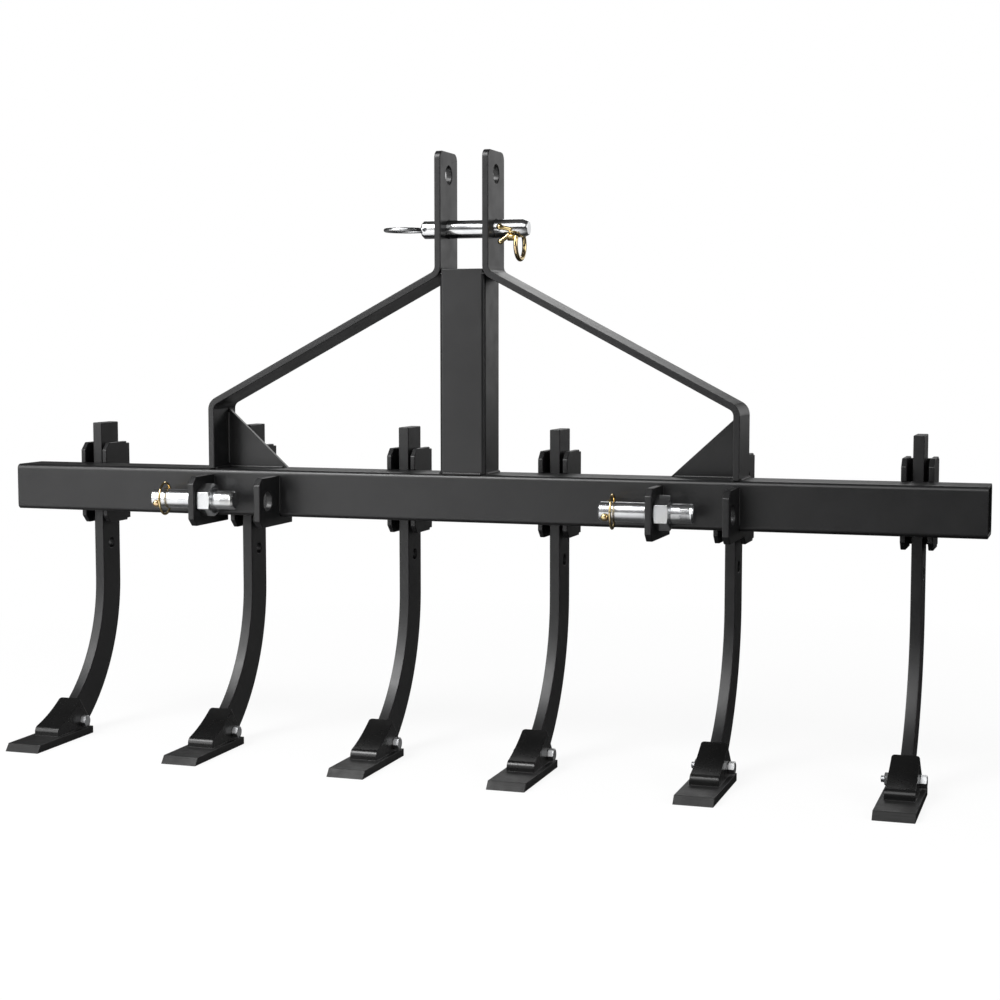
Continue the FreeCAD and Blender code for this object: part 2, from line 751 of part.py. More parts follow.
# Lower pins: name, shoulder face on its ear, which both point to the left
lower_pins = [
    ("left", f"-{leg_outside}"),
    ("right", ear_inside(False)),
]
for name, shoulder in lower_pins:
    make_lower_pin(f"lower_pin_{name}", shoulder)
    make_lower_nut(f"lower_nut_{name}", f"{shoulder} + Sizes.ear_thickness")
    lynch_place = f"{shoulder} - Sizes.lower_pin_length + Sizes.lynch_setback"
    make_lynch_pin(f"lynch_pin_{name}", 1, lynch_place, "-Sizes.lower_pin_setout", lower_pin_axis)
make_top_link_pin()
top_lynch_place = "Sizes.top_pin_reach - Sizes.top_lynch_setback"
make_lynch_pin("lynch_pin_top", -1, top_lynch_place, toolbar_middle, top_pin_axis)

def sides_beside_leg(across):
    """The sides of a clamp, -1 or 1, whose plate stands in line with a mast leg."""
    found = []
    for side in (-1, 1):
        inner, outer = number("Sizes.clamp_gap / 2"), number("Sizes.clamp_gap / 2 + Sizes.clamp_plate")
        low, high = sorted((abs(number(across) + side * inner), abs(number(across) + side * outer)))
        gap = number(size("slide_clearance"))
        if low < number(leg_outside) + gap and high > number(leg_inside) - gap:
            found.append(side)
    return found


# Shanks, left to right: the middle pair has its own spacing, and equal steps run from it to the ends
copies = int(number(size("shanks_each_side")))
places = [(-1, step) for step in reversed(range(copies))] + [(1, step) for step in range(copies)]
for place, (side, step) in enumerate(places, start=1):
    share = f"{step} / {max(copies - 1, 1)}"
    across = f"({side} * (Sizes.shank_inner_spacing / 2 + {shank_run} * {share}))"
    make_clamp(f"clamp_{place}", across, sides_beside_leg(across))
    make_shank(f"shank_{place}", across)
    make_share(f"share_{place}", across)

document.recompute()
for item in document.Objects:
    if "Invalid" in item.State or "Error" in item.State:
        raise RuntimeError(f"{item.Label} did not build: {item.State}")

bodies = [item for item in document.Objects if item.TypeId == "PartDesign::Body"]
for body in bodies:
    if body.Shape.isNull() or not body.Shape.isValid():
        raise RuntimeError(f"{body.Label} has no valid solid")

os.makedirs("parts", exist_ok=True)
for body in bodies:
    body.Shape.exportStep(f"parts/{body.Label}.step")
print(len(bodies), "parts written")
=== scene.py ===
import math
import bpy
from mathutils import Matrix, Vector


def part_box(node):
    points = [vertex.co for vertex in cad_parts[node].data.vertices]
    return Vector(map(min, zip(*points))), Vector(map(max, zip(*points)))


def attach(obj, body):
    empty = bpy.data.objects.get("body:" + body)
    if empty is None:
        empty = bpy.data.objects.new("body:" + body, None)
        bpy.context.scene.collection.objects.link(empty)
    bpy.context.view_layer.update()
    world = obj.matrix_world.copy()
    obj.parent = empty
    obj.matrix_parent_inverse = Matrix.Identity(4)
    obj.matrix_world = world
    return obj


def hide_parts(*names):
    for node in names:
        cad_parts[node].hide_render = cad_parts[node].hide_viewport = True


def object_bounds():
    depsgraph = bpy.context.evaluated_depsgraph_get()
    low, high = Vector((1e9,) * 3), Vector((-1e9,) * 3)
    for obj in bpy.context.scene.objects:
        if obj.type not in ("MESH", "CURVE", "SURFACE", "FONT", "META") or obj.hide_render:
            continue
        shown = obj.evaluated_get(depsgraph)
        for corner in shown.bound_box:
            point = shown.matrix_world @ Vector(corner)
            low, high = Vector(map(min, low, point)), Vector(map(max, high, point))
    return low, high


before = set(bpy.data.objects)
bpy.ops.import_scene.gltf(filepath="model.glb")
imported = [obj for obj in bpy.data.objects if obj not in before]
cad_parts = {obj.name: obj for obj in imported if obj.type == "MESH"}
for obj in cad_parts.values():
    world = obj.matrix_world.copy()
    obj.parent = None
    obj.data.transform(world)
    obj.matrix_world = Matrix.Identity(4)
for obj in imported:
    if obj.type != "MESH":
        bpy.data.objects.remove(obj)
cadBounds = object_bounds()
print("frame loaded with", len(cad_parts), "nodes")


# camera, first so that the framing is easy to change
cameraView = {
    "place": (0.7537, -2.0924, 0.1999),
    "turn": (math.pi / 2 - 0.086, 0, 0.319),  # radians: 4.9 degrees down, 18.3 degrees to the side
    "lens": 66.9,
    "sensor": 36,
    "shift": (-0.0017, 0),
}
cameraData = bpy.data.cameras.new("camera")
cameraData.lens = cameraView["lens"]
cameraData.sensor_width = cameraView["sensor"]
cameraData.shift_x, cameraData.shift_y = cameraView["shift"]
cameraObject = bpy.data.objects.new("camera", cameraData)
cameraObject.location = cameraView["place"]
cameraObject.rotation_euler = cameraView["turn"]
bpy.context.collection.objects.link(cameraObject)
bpy.context.scene.camera = cameraObject


# small helpers for work on one mesh
near = 0.0002  # two places closer than this are the same place
squareOn = 0.99  # a face whose normal has this much of an axis is square to it
alongX = (0, math.pi / 2, 0)  # radians, lays an upright primitive along X
towardsBack = (0, 0, 90)  # degrees, turn a piece that points to +X
towardsLeft = (0, 0, 180)
towardsFront = (0, 0, -90)


def deselectAll():
    if bpy.context.mode != "OBJECT":
        bpy.ops.object.mode_set(mode="OBJECT")
    bpy.ops.object.select_all(action="DESELECT")


def makeActive(piece):
    deselectAll()
    piece.select_set(True)
    bpy.context.view_layer.objects.active = piece


def takeNew(name):
    # the primitive that was just added
    piece = bpy.context.view_layer.objects.active
    piece.name = name
    return piece


def startEdit(piece, pickAll=False):
    makeActive(piece)
    bpy.ops.object.mode_set(mode="EDIT")
    bpy.ops.mesh.select_all(action="SELECT" if pickAll else "DESELECT")


def endEdit():
    bpy.ops.object.mode_set(mode="OBJECT")


def pickFaces(piece, wanted):
    # selects the faces that pass the test, which gets the face and its corner points
    startEdit(piece)
    bpy.ops.mesh.select_mode(type="FACE")
    endEdit()
    mesh = piece.data
    for face in mesh.polygons:
        corners = [mesh.vertices[index].co for index in face.vertices]
        face.select = wanted(face, corners)
    bpy.ops.object.mode_set(mode="EDIT")


def pickPoints(piece, wanted):
    # selects the points whose place passes the test
    startEdit(piece)
    bpy.ops.mesh.select_mode(type="VERT")
    endEdit()
    for vertex in piece.data.vertices:
        vertex.select = wanted(vertex.co)
    bpy.ops.object.mode_set(mode="EDIT")


def closeHoles():
    # fills the open rims of the mesh that is being edited, and ends the editing
    bpy.ops.mesh.select_mode(type="EDGE")
    bpy.ops.mesh.select_all(action="DESELECT")
    bpy.ops.mesh.select_non_manifold()
    bpy.ops.mesh.fill_holes(sides=0)
    endEdit()


def applyModifier(piece, kind, **values):
    makeActive(piece)
    modifier = piece.modifiers.new(kind.lower(), kind)
    for key, value in values.items():
        setattr(modifier, key, value)
    bpy.ops.object.modifier_apply(modifier=modifier.name)


def trimWith(piece, cutter, operation):
    applyModifier(piece, "BOOLEAN", operation=operation, object=cutter, solver="EXACT")
    bpy.data.objects.remove(cutter)


def smoothPiece(piece, angle):
    makeActive(piece)
    bpy.ops.object.shade_smooth_by_angle(angle=math.radians(angle))


def softenEdges(piece, width, steps=3, angle=34):
    # rounds every hard edge and keeps the flats flat
    applyModifier(
        piece, "BEVEL", width=width, segments=steps, limit_method="ANGLE",
        angle_limit=math.radians(angle), use_clamp_overlap=False, miter_outer="MITER_ARC",
    )
    smoothPiece(piece, angle=40)
    applyModifier(piece, "WEIGHTED_NORMAL", weight=60, keep_sharp=True)


def bakePlace(piece):
    makeActive(piece)
    bpy.ops.object.transform_apply(location=True, rotation=True, scale=True)


def placePiece(piece, place=(0, 0, 0), turn=(0, 0, 0)):
    piece.location = place
    piece.rotation_euler = [math.radians(value) for value in turn]
    bakePlace(piece)


def aimPiece(piece, start, end):
    # a piece along X is moved and turned so that it runs from one point towards the other
    heading = (Vector(end) - Vector(start)).to_track_quat("X", "Z").to_euler()
    placePiece(piece, start, [math.degrees(value) for value in heading])


def copyPiece(piece, name, place, turn=(0, 0, 0)):
    twin = piece.copy()
    twin.data = piece.data.copy()
    twin.name = name
    bpy.context.collection.objects.link(twin)
    placePiece(twin, place, turn)
    return twin


def joinPieces(name, pieces):
    makeActive(pieces[0])
    for piece in pieces[1:]:
        piece.select_set(True)
    bpy.ops.object.join()
    return takeNew(name)


def removeModels(*pieces):
    for piece in pieces:
        bpy.data.objects.remove(piece)


def copyNode(nodeName, pieceName):
    # a copy of a solid, with its points merged
    piece = bpy.data.objects.new(pieceName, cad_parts[nodeName].data.copy())
    bpy.context.collection.objects.link(piece)
    makeActive(piece)
    bpy.ops.mesh.customdata_custom_splitnormals_clear()
    startEdit(piece, pickAll=True)
    bpy.ops.mesh.remove_doubles(threshold=0.00001)
    endEdit()
    return piece


def mergeFlats(piece):
    # makes the flats of a copied solid whole again
    startEdit(piece, pickAll=True)
    bpy.ops.mesh.dissolve_limited(angle_limit=math.radians(0.4))
    endEdit()


def cutAway(piece, wanted):
    # takes faces away and closes the holes they leave
    pickFaces(piece, wanted)
    bpy.ops.mesh.delete(type="FACE")
    closeHoles()


def middleOf(nodeName):
    low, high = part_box(nodeName)
    return (low[0] + high[0]) / 2


def finishPiece(piece, material, body, slotName, *nodeNames):
    piece.data.materials.clear()
    piece.data.materials.append(material)
    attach(piece, body)
    if nodeNames:
        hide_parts(*nodeNames)


def addTurned(name, profile, sides=48):
    # a lathe part along X: each step of the profile is a place along X and a radius
    sameRadius = 1e-7
    deselectAll()
    along, radius = profile[0]
    bpy.ops.mesh.primitive_circle_add(
        vertices=sides, radius=radius, fill_type="NGON", location=(along, 0, 0), rotation=alongX
    )
    piece = takeNew(name)
    bpy.ops.object.mode_set(mode="EDIT")
    bpy.ops.mesh.select_all(action="SELECT")
    for nextAlong, nextRadius in profile[1:]:
        bpy.ops.mesh.extrude_region_move(TRANSFORM_OT_translate={"value": (nextAlong - along, 0, 0)})
        if abs(nextRadius - radius) > sameRadius:
            ratio = nextRadius / radius
            bpy.ops.transform.resize(value=(1, ratio, ratio), center_override=(nextAlong, 0, 0))
        along, radius = nextAlong, nextRadius
    bpy.ops.mesh.select_all(action="SELECT")
    bpy.ops.mesh.normals_make_consistent(inside=False)
    endEdit()
    bakePlace(piece)
    return piece


# nuts and bolt heads: the turned end face, the soft edges and the chamfer, as shares of the hexagon
hexShape = {"sides": 6, "face": 0.96, "edge": 0.012, "chamfer": 0.75, "cutter": 1.02}


def addHex(name, flats, height, turn=0):
    # a hexagon bar along X whose corners a cone has turned off at both ends
    deselectAll()
    reach = flats / 2 / math.cos(math.pi / hexShape["sides"])
    bpy.ops.mesh.primitive_cylinder_add(
        vertices=hexShape["sides"], radius=reach, depth=height, location=(height / 2, 0, 0), rotation=alongX
    )
    piece = takeNew(name)
    bakePlace(piece)
    placePiece(piece, turn=(turn, 0, 0))
    chamfer = (reach - flats / 2) * hexShape["chamfer"]
    low = flats / 2 * hexShape["face"]
    wide = reach * hexShape["cutter"]
    cutter = addTurned("cutter", [(0, low), (chamfer, wide), (height - chamfer, wide), (height, low)])
    trimWith(piece, cutter, "INTERSECT")
    softenEdges(piece, flats * hexShape["edge"], steps=2, angle=20)
    return piece


# one turn of a machine thread: shares of the pitch and of the depth
threadTurn = [(0.35, 0), (0.55, 0), (0.95, 1)]


def threadProfile(start, end, radius, pitch, depth):
    # crest and root, ring by ring; no turn ends nearer to the end than half a pitch
    steps = [(start, radius - depth)]
    along = start
    while along + pitch < end - pitch / 2:
        steps += [(along + pitch * step, radius - depth * sink) for step, sink in threadTurn]
        along += pitch
    return steps


def drillCross(pin, along, radius, tilt=0):
    # a hole across a pin that lies along X, turned about the pin's axis
    deselectAll()
    bpy.ops.mesh.primitive_cylinder_add(
        vertices=32, radius=radius, depth=0.06,
        location=(along, 0, 0), rotation=(math.radians(90 + tilt), 0, 0),
    )
    trimWith(pin, takeNew("drill"), "DIFFERENCE")


print("helpers ready")


# materials
noiseSpan = (0.3, 0.7)  # nearly all of a noise lies between these


def newMaterial(name):
    material = bpy.data.materials.new(name)
    material.use_nodes = True
    tree = material.node_tree
    shader = tree.nodes["Principled BSDF"]
    place = tree.nodes.new("ShaderNodeTexCoord")
    return material, tree, shader, place.outputs["Object"]


def addNoise(tree, coords, scale, detail=2.0, stretch=(1, 1, 1), rough=0.5):
    mapping = tree.nodes.new("ShaderNodeMapping")
    mapping.inputs["Scale"].default_value = stretch
    tree.links.new(coords, mapping.inputs["Vector"])
    noise = tree.nodes.new("ShaderNodeTexNoise")
    noise.inputs["Scale"].default_value = scale
    noise.inputs["Detail"].default_value = detail
    noise.inputs["Roughness"].default_value = rough
    tree.links.new(mapping.outputs["Vector"], noise.inputs["Vector"])
    return noise.outputs["Fac"]


def addLevels(tree, value, low, high, fromLow=0.0, fromHigh=1.0):
    # a range whose ends may be numbers or other nodes' outputs
    node = tree.nodes.new("ShaderNodeMapRange")
    node.inputs["From Min"].default_value = fromLow
    node.inputs["From Max"].default_value = fromHigh
    for socket, level in (("To Min", low), ("To Max", high)):
        if isinstance(level, float):
            node.inputs[socket].default_value = level
        else:
            tree.links.new(level, node.inputs[socket])
    tree.links.new(value, node.inputs["Value"])
    return node.outputs["Result"]


def addMath(tree, operation, first, second):
    node = tree.nodes.new("ShaderNodeMath")
    node.operation = operation
    tree.links.new(first, node.inputs[0])
    tree.links.new(second, node.inputs[1])
    return node.outputs["Value"]


def addRamp(tree, value, stops):
    node = tree.nodes.new("ShaderNodeValToRGB")
    ramp = node.color_ramp
    while len(ramp.elements) < len(stops):
        ramp.elements.new(0.5)
    for element, (place, colour) in zip(ramp.elements, stops):
        element.position = place
        element.color = (*colour, 1)
    tree.links.new(value, node.inputs["Fac"])
    return node.outputs["Color"]


def addBump(tree, height, distance, strength, under=None):
    node = tree.nodes.new("ShaderNodeBump")
    node.inputs["Distance"].default_value = distance
    node.inputs["Strength"].default_value = strength
    tree.links.new(height, node.inputs["Height"])
    if under is not None:
        tree.links.new(under, node.inputs["Normal"])
    return node.outputs["Normal"]


def makeCoat(name, values):
    # black powder coat: cloudy tone, orange peel, slow unevenness and a few dull patches
    material, tree, shader, coords = newMaterial(name)
    cloud = addNoise(tree, coords, values["cloudScale"], detail=4, rough=0.55)
    colour = addRamp(tree, cloud, list(zip(noiseSpan, values["tones"])))
    tree.links.new(colour, shader.inputs["Base Color"])
    patch = addNoise(tree, coords, values["patchScale"], detail=3)
    roughness = addLevels(tree, patch, *values["roughness"], *noiseSpan)
    tree.links.new(roughness, shader.inputs["Roughness"])
    slow = addNoise(tree, coords, values["waveScale"])
    peel = addNoise(tree, coords, values["peelScale"], rough=0.6)
    normal = addBump(tree, slow, values["waveDepth"], values["waveStrength"])
    normal = addBump(tree, peel, values["peelDepth"], values["peelStrength"], normal)
    tree.links.new(normal, shader.inputs["Normal"])
    shader.inputs["Specular IOR Level"].default_value = values["gloss"]
    return material


coatFrame = {
    "tones": [(0.006, 0.006, 0.0065), (0.011, 0.011, 0.0115)], "cloudScale": 14, "gloss": 0.6,
    "roughness": (0.31, 0.39), "patchScale": 38,
    "waveScale": 24, "waveDepth": 0.0006, "waveStrength": 0.10,
    "peelScale": 620, "peelDepth": 0.0002, "peelStrength": 0.20,
}
coatBar = dict(coatFrame, roughness=(0.36, 0.46), waveScale=70, waveStrength=0.16, peelScale=520)
coatBoot = dict(
    coatFrame, tones=[(0.003, 0.003, 0.003), (0.006, 0.006, 0.006)],
    roughness=(0.24, 0.30), peelStrength=0.12,
)
frameCoat = makeCoat("frameCoat", coatFrame)
barCoat = makeCoat("barCoat", coatBar)
bootCoat = makeCoat("bootCoat", coatBoot)


def makeGroundPlate(name, values):
    # sole plate: painted over fine cross grinding, worn a little lighter along the lines
    material, tree, shader, coords = newMaterial(name)
    lines = addNoise(tree, coords, 1.0, detail=3, stretch=values["lineStretch"], rough=0.6)
    colour = addRamp(tree, lines, values["tones"])
    tree.links.new(colour, shader.inputs["Base Color"])
    patch = addNoise(tree, coords, values["patchScale"], detail=3)
    roughness = addLevels(tree, patch, *values["roughness"], *noiseSpan)
    tree.links.new(roughness, shader.inputs["Roughness"])
    normal = addBump(tree, lines, values["lineDepth"], values["lineStrength"])
    peel = addNoise(tree, coords, values["peelScale"])
    normal = addBump(tree, peel, values["peelDepth"], values["peelStrength"], normal)
    tree.links.new(normal, shader.inputs["Normal"])
    shader.inputs["Specular IOR Level"].default_value = values["gloss"]
    return material


soleFinish = {
    "tones": [(0.3, (0.008, 0.008, 0.008)), (0.72, (0.020, 0.020, 0.020))], "gloss": 0.25,
    "roughness": (0.36, 0.5), "patchScale": 60,
    "lineStretch": (18, 900, 900), "lineDepth": 0.0003, "lineStrength": 0.35,
    "peelScale": 700, "peelDepth": 0.0002, "peelStrength": 0.12,
}
solePaint = makeGroundPlate("solePaint", soleFinish)


def makePlating(name, values):
    # plated steel: passivation hue, turning lines and tiny dull spots
    material, tree, shader, coords = newMaterial(name)
    shader.inputs["Metallic"].default_value = 1.0
    hue = addNoise(tree, coords, values["hueScale"], detail=3)
    colour = addRamp(tree, hue, values["hues"])
    tree.links.new(colour, shader.inputs["Base Color"])
    dull = addNoise(tree, coords, values["dullScale"], detail=4, rough=0.65)
    roughness = addLevels(tree, dull, *values["roughness"], *noiseSpan)
    tree.links.new(roughness, shader.inputs["Roughness"])
    lines = addNoise(tree, coords, 1.0, stretch=values["lineStretch"])
    grain = addNoise(tree, coords, values["grainScale"])
    normal = addBump(tree, lines, values["depth"], values["lineStrength"])
    normal = addBump(tree, grain, values["depth"], values["grainStrength"], normal)
    tree.links.new(normal, shader.inputs["Normal"])
    return material


brightPlating = {
    "hues": [(0.25, (0.66, 0.67, 0.69)), (0.55, (0.80, 0.81, 0.82)), (0.8, (0.74, 0.74, 0.72))],
    "hueScale": 40, "dullScale": 60, "roughness": (0.20, 0.27), "depth": 0.0001,
    "lineStretch": (1500, 12, 12), "lineStrength": 0.06, "grainScale": 900, "grainStrength": 0.03,
}
goldPlating = dict(
    brightPlating, hues=[(0.2, (0.62, 0.43, 0.16)), (0.5, (0.83, 0.66, 0.33)), (0.8, (0.78, 0.52, 0.36))],
    hueScale=90, roughness=(0.10, 0.16), lineStretch=(400, 400, 400), lineStrength=0.08,
)
polishedPlating = dict(brightPlating, roughness=(0.15, 0.21), lineStrength=0.03)
boltPlating = dict(brightPlating, roughness=(0.28, 0.40), lineStretch=(500, 500, 500))
brightZinc = makePlating("brightZinc", brightPlating)
goldZinc = makePlating("goldZinc", goldPlating)
polishedZinc = makePlating("polishedZinc", polishedPlating)
boltZinc = makePlating("boltZinc", boltPlating)
print("materials ready")


# toolbar, mast, gussets and hitch ears: rounded copies of the solids
edgeRounds = {
    "toolbar": 0.0007, "mast_post": 0.0007, "mast_strap_left": 0.0011, "mast_strap_right": 0.0011,
    "gusset_left": 0.0006, "gusset_right": 0.0006, "hitch_ear_left_outer": 0.0010,
    "hitch_ear_left_inner": 0.0010, "hitch_ear_right_inner": 0.0010, "hitch_ear_right_outer": 0.0010,
}
for nodeName, edgeRound in edgeRounds.items():
    steelPiece = copyNode(nodeName, nodeName + "_steel")
    mergeFlats(steelPiece)
    softenEdges(steelPiece, edgeRound)
    finishPiece(steelPiece, frameCoat, "frame", "black_paint", nodeName)
print("frame pieces done")


# weld beads: one ripple, repeated along each joint
weldBead = {
    "radius": 0.0017, "earRadius": 0.0011, "pitch": 0.0021, "swell": 1.12, "crest": (0.3, 0.7), "sides": 12,
    # how far the lines of beads stand off the faces that they join
    "off": 0.0006, "postOff": 0.0003, "earOff": 0.0004, "barOff": 0.0002,
    # how far they stop short of the joints' ends
    "short": 0.0040, "postShort": 0.0050, "tipShort": 0.0060, "earFootShort": 0.0070, "earTopShort": 0.0020,
}
strapThickness = 0.0080


def addBead(name, start, end, radius):
    length = (Vector(end) - Vector(start)).length
    count = int(length / weldBead["pitch"])
    pitch = length / count
    crest = [(pitch * part, radius * weldBead["swell"]) for part in weldBead["crest"]]
    profile = [(0, radius)] + crest + [(pitch, radius)]
    bead = addTurned(name, profile, weldBead["sides"])
    # the ripple's ends are opened, so that its copies merge, and the ends of the row are closed
    pickFaces(bead, lambda face, corners: abs(face.normal.x) > squareOn)
    bpy.ops.mesh.delete(type="ONLY_FACE")
    endEdit()
    applyModifier(
        bead, "ARRAY", count=count, use_relative_offset=False, use_constant_offset=True,
        constant_offset_displace=(pitch, 0, 0), use_merge_vertices=True, merge_threshold=0.00002,
    )
    startEdit(bead)
    closeHoles()
    aimPiece(bead, start, end)
    smoothPiece(bead, angle=60)
    return bead


toolbarLow, toolbarHigh = (Vector(corner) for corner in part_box("toolbar"))
off, short, tipShort = weldBead["off"], weldBead["short"], weldBead["tipShort"]
z = toolbarHigh.z + off
beadLines = []
for sideName, side in (("left", -1), ("right", 1)):
    strapLow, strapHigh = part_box("mast_strap_" + sideName)
    outer = strapLow[0] if side < 0 else strapHigh[0]
    inner = outer - side * strapThickness
    for x in (outer + side * off, inner - side * off):
        beadLines.append(((x, strapLow[1] + short, z), (x, strapHigh[1] - short, z)))
    gussetLow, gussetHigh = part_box("gusset_" + sideName)
    tip = gussetLow[0] if side > 0 else gussetHigh[0]
    for y in (gussetLow[1] - off, gussetHigh[1] + off):
        beadLines.append(((tip + side * tipShort, y, z), (inner - side * short, y, z)))
        x = inner - side * off
        beadLines.append(((x, y, z + short), (x, y, gussetHigh[2] - tipShort)))
postLow, postHigh = (Vector(corner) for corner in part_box("mast_post"))
postOff, postShort = weldBead["postOff"], weldBead["postShort"]
for y in (postLow.y - postOff, postHigh.y + postOff):
    beadLines.append(((postLow.x + postShort, y, z), (postHigh.x - postShort, y, z)))
for x in (postLow.x - off, postHigh.x + off):
    beadLines.append(((x, postLow.y + postShort, z), (x, postHigh.y - postShort, z)))
earLines = []
for earName in ("left_outer", "left_inner", "right_inner", "right_outer"):
    earLow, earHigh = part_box("hitch_ear_" + earName)
    y = toolbarLow.y - weldBead["barOff"]
    foot, top = toolbarLow.z + weldBead["earFootShort"], earHigh[2] - weldBead["earTopShort"]
    for x in (earLow[0] - weldBead["earOff"], earHigh[0] + weldBead["earOff"]):
        earLines.append(((x, y, foot), (x, y, top)))
beads = [addBead("bead", start, end, weldBead["radius"]) for start, end in beadLines]
beads += [addBead("ear_bead", start, end, weldBead["earRadius"]) for start, end in earLines]
weldBeads = joinPieces("weld_beads", beads)
finishPiece(weldBeads, frameCoat, "frame", "black_paint")
print("weld beads done:", len(beads))


# set screw with its nut, modelled once
setScrew = {
    "headWidth": 0.0120, "headLength": 0.0085, "nutFlats": 0.0180, "nutHeight": 0.0090,
    "threadRadius": 0.0060, "threadEnd": 0.0147, "plainEnd": 0.0005, "pitch": 0.00175, "depth": 0.0007,
    "edge": 0.0003,
    # how far the square head's corners reach and where they slope down, as shares of its width
    "footReach": 0.62, "topReach": 0.74, "crownReach": 0.50, "crownDepth": 0.14,
}
threadSides = 32
threadAngle = 50
rootInside = 0.0010  # how far a thread starts inside what it comes out of


def makeSetScrew():
    # nut and thread stand on the clamp's bridge, and the thread ends inside the head
    nutHeight, radius, depth = setScrew["nutHeight"], setScrew["threadRadius"], setScrew["depth"]
    start, end = nutHeight - rootInside, setScrew["threadEnd"]
    nut = addHex("set_nut", setScrew["nutFlats"], nutHeight)
    profile = threadProfile(start, end - setScrew["plainEnd"], radius, setScrew["pitch"], depth)
    thread = addTurned("set_thread", profile + [(end, radius - depth)], threadSides)
    smoothPiece(thread, threadAngle)
    return nut, thread


def makeSquareHead():
    width, length = setScrew["headWidth"], setScrew["headLength"]
    deselectAll()
    bpy.ops.mesh.primitive_cube_add(size=1, location=(length / 2, 0, 0), scale=(length, width, width))
    head = takeNew("square_head")
    bakePlace(head)
    spare = near / 2
    profile = [
        (-spare, width * setScrew["footReach"]),
        (length - width * setScrew["crownDepth"], width * setScrew["topReach"]),
        (length + spare, width * setScrew["crownReach"]),
    ]
    trimWith(head, addTurned("cutter", profile), "INTERSECT")
    softenEdges(head, setScrew["edge"], steps=2, angle=20)
    return head


# clamps: the solid without its fused screw, with a taller bridge, and a real set screw
shankCount = 6
clamp = {
    "round": 0.0009, "slack": 0.0003, "shankDepth": 0.0435, "bridgeThickness": 0.0080,
    # the solid's bridge ends this far inside the toolbar's height, and grows by these
    "bridgeInset": 0.0050, "growUp": 0.0290, "growDown": 0.0240,
}
bridgeFront = toolbarHigh.y + clamp["shankDepth"] + 2 * clamp["slack"]
bridgeBack = bridgeFront + clamp["bridgeThickness"]


def growBridge(piece):
    # the rear bridge closes the clamp nearly to the ends of its plates
    top, bottom = toolbarHigh.z - clamp["bridgeInset"], toolbarLow.z + clamp["bridgeInset"]
    for level, shift in ((top, clamp["growUp"]), (bottom, -clamp["growDown"])):
        pickPoints(piece, lambda point: point.y > bridgeFront - near and abs(point.z - level) < near)
        bpy.ops.transform.translate(value=(0, 0, shift))
        endEdit()


setNut, setThread = makeSetScrew()
squareHead = makeSquareHead()
screwZ = (toolbarLow.z + toolbarHigh.z) / 2
headY = cadBounds[1][1] - setScrew["headLength"]
for number in range(1, shankCount + 1):
    nodeName = f"clamp_{number}"
    middle = middleOf(nodeName)
    clampPiece = copyNode(nodeName, nodeName + "_plates")
    cutAway(clampPiece, lambda face, corners: max(corner.y for corner in corners) > bridgeBack + near)
    mergeFlats(clampPiece)
    growBridge(clampPiece)
    softenEdges(clampPiece, clamp["round"])
    finishPiece(clampPiece, frameCoat, "frame", "black_paint", nodeName)
    screwPieces = [
        copyPiece(setNut, "nut", (middle, bridgeBack, screwZ), towardsBack),
        copyPiece(setThread, "thread", (middle, bridgeBack, screwZ), towardsBack),
        copyPiece(squareHead, "head", (middle, headY, screwZ), towardsBack),
    ]
    screwPiece = joinPieces(f"set_screw_{number}", screwPieces)
    finishPiece(screwPiece, brightZinc, "frame", "bright_zinc")
removeModels(setNut, setThread, squareHead)
print("clamps done")


# bolt through each boot, modelled once
shareBolt = {
    "flats": 0.0135, "headTurn": 5, "headHeight": 0.0074, "nutTurn": 30, "nutHeight": 0.0066,
    "tipRadius": 0.0040, "tipLength": 0.0040, "pitch": 0.00125, "depth": 0.0005,
    "tipBevel": 0.0007, "bevelLength": 0.0006,
    # its place along Y and above the floor, and its seats' distance from the shank's middle
    "alongY": 0.0180, "aboveFloor": 0.0186, "seat": 0.01685,
    # the solid's own bolt ends lie within this radius, and outside this half width
    "fusedRadius": 0.0085, "fusedFrom": 0.0150,
}


def makeShareBolt():
    # head, nut and tip, each made from zero towards +X
    bolt = shareBolt
    head = addHex("bolt_head", bolt["flats"], bolt["headHeight"], bolt["headTurn"])
    nut = addHex("bolt_nut", bolt["flats"], bolt["nutHeight"], bolt["nutTurn"])
    radius, length, depth = bolt["tipRadius"], bolt["tipLength"], bolt["depth"]
    profile = [(-rootInside, radius - depth)]
    profile += threadProfile(-rootInside / 2, length, radius, bolt["pitch"], depth)
    profile += [(length - bolt["bevelLength"], radius), (length, radius - bolt["tipBevel"])]
    tip = addTurned("bolt_tip", profile, threadSides)
    smoothPiece(tip, threadAngle)
    return head, nut, tip


# shanks and shares: rounded copies, the boots with a wider lip and the soles in their own finish
shankRound = 0.0010
shareRound = 0.0005
soleHeight = 0.0096
lipRoll = {
    "setIn": 0.0580, "roundLow": 0.0166, "roundRadius": 0.0040, "coverSlope": 16.8,
    "depth": 0.0030, "grow": 2.0,
}
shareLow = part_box("share_1")[0]
floorZ = shareLow[2]
boltY = shareBolt["alongY"]
boltZ = floorZ + shareBolt["aboveFloor"]


def cutBoltOff(piece, middle):
    def isBolt(face, corners):
        far = max(math.hypot(corner.y - boltY, corner.z - boltZ) for corner in corners)
        inside = min(abs(corner.x - middle) for corner in corners)
        return far < shareBolt["fusedRadius"] and inside > shareBolt["fusedFrom"]

    cutAway(piece, isBolt)


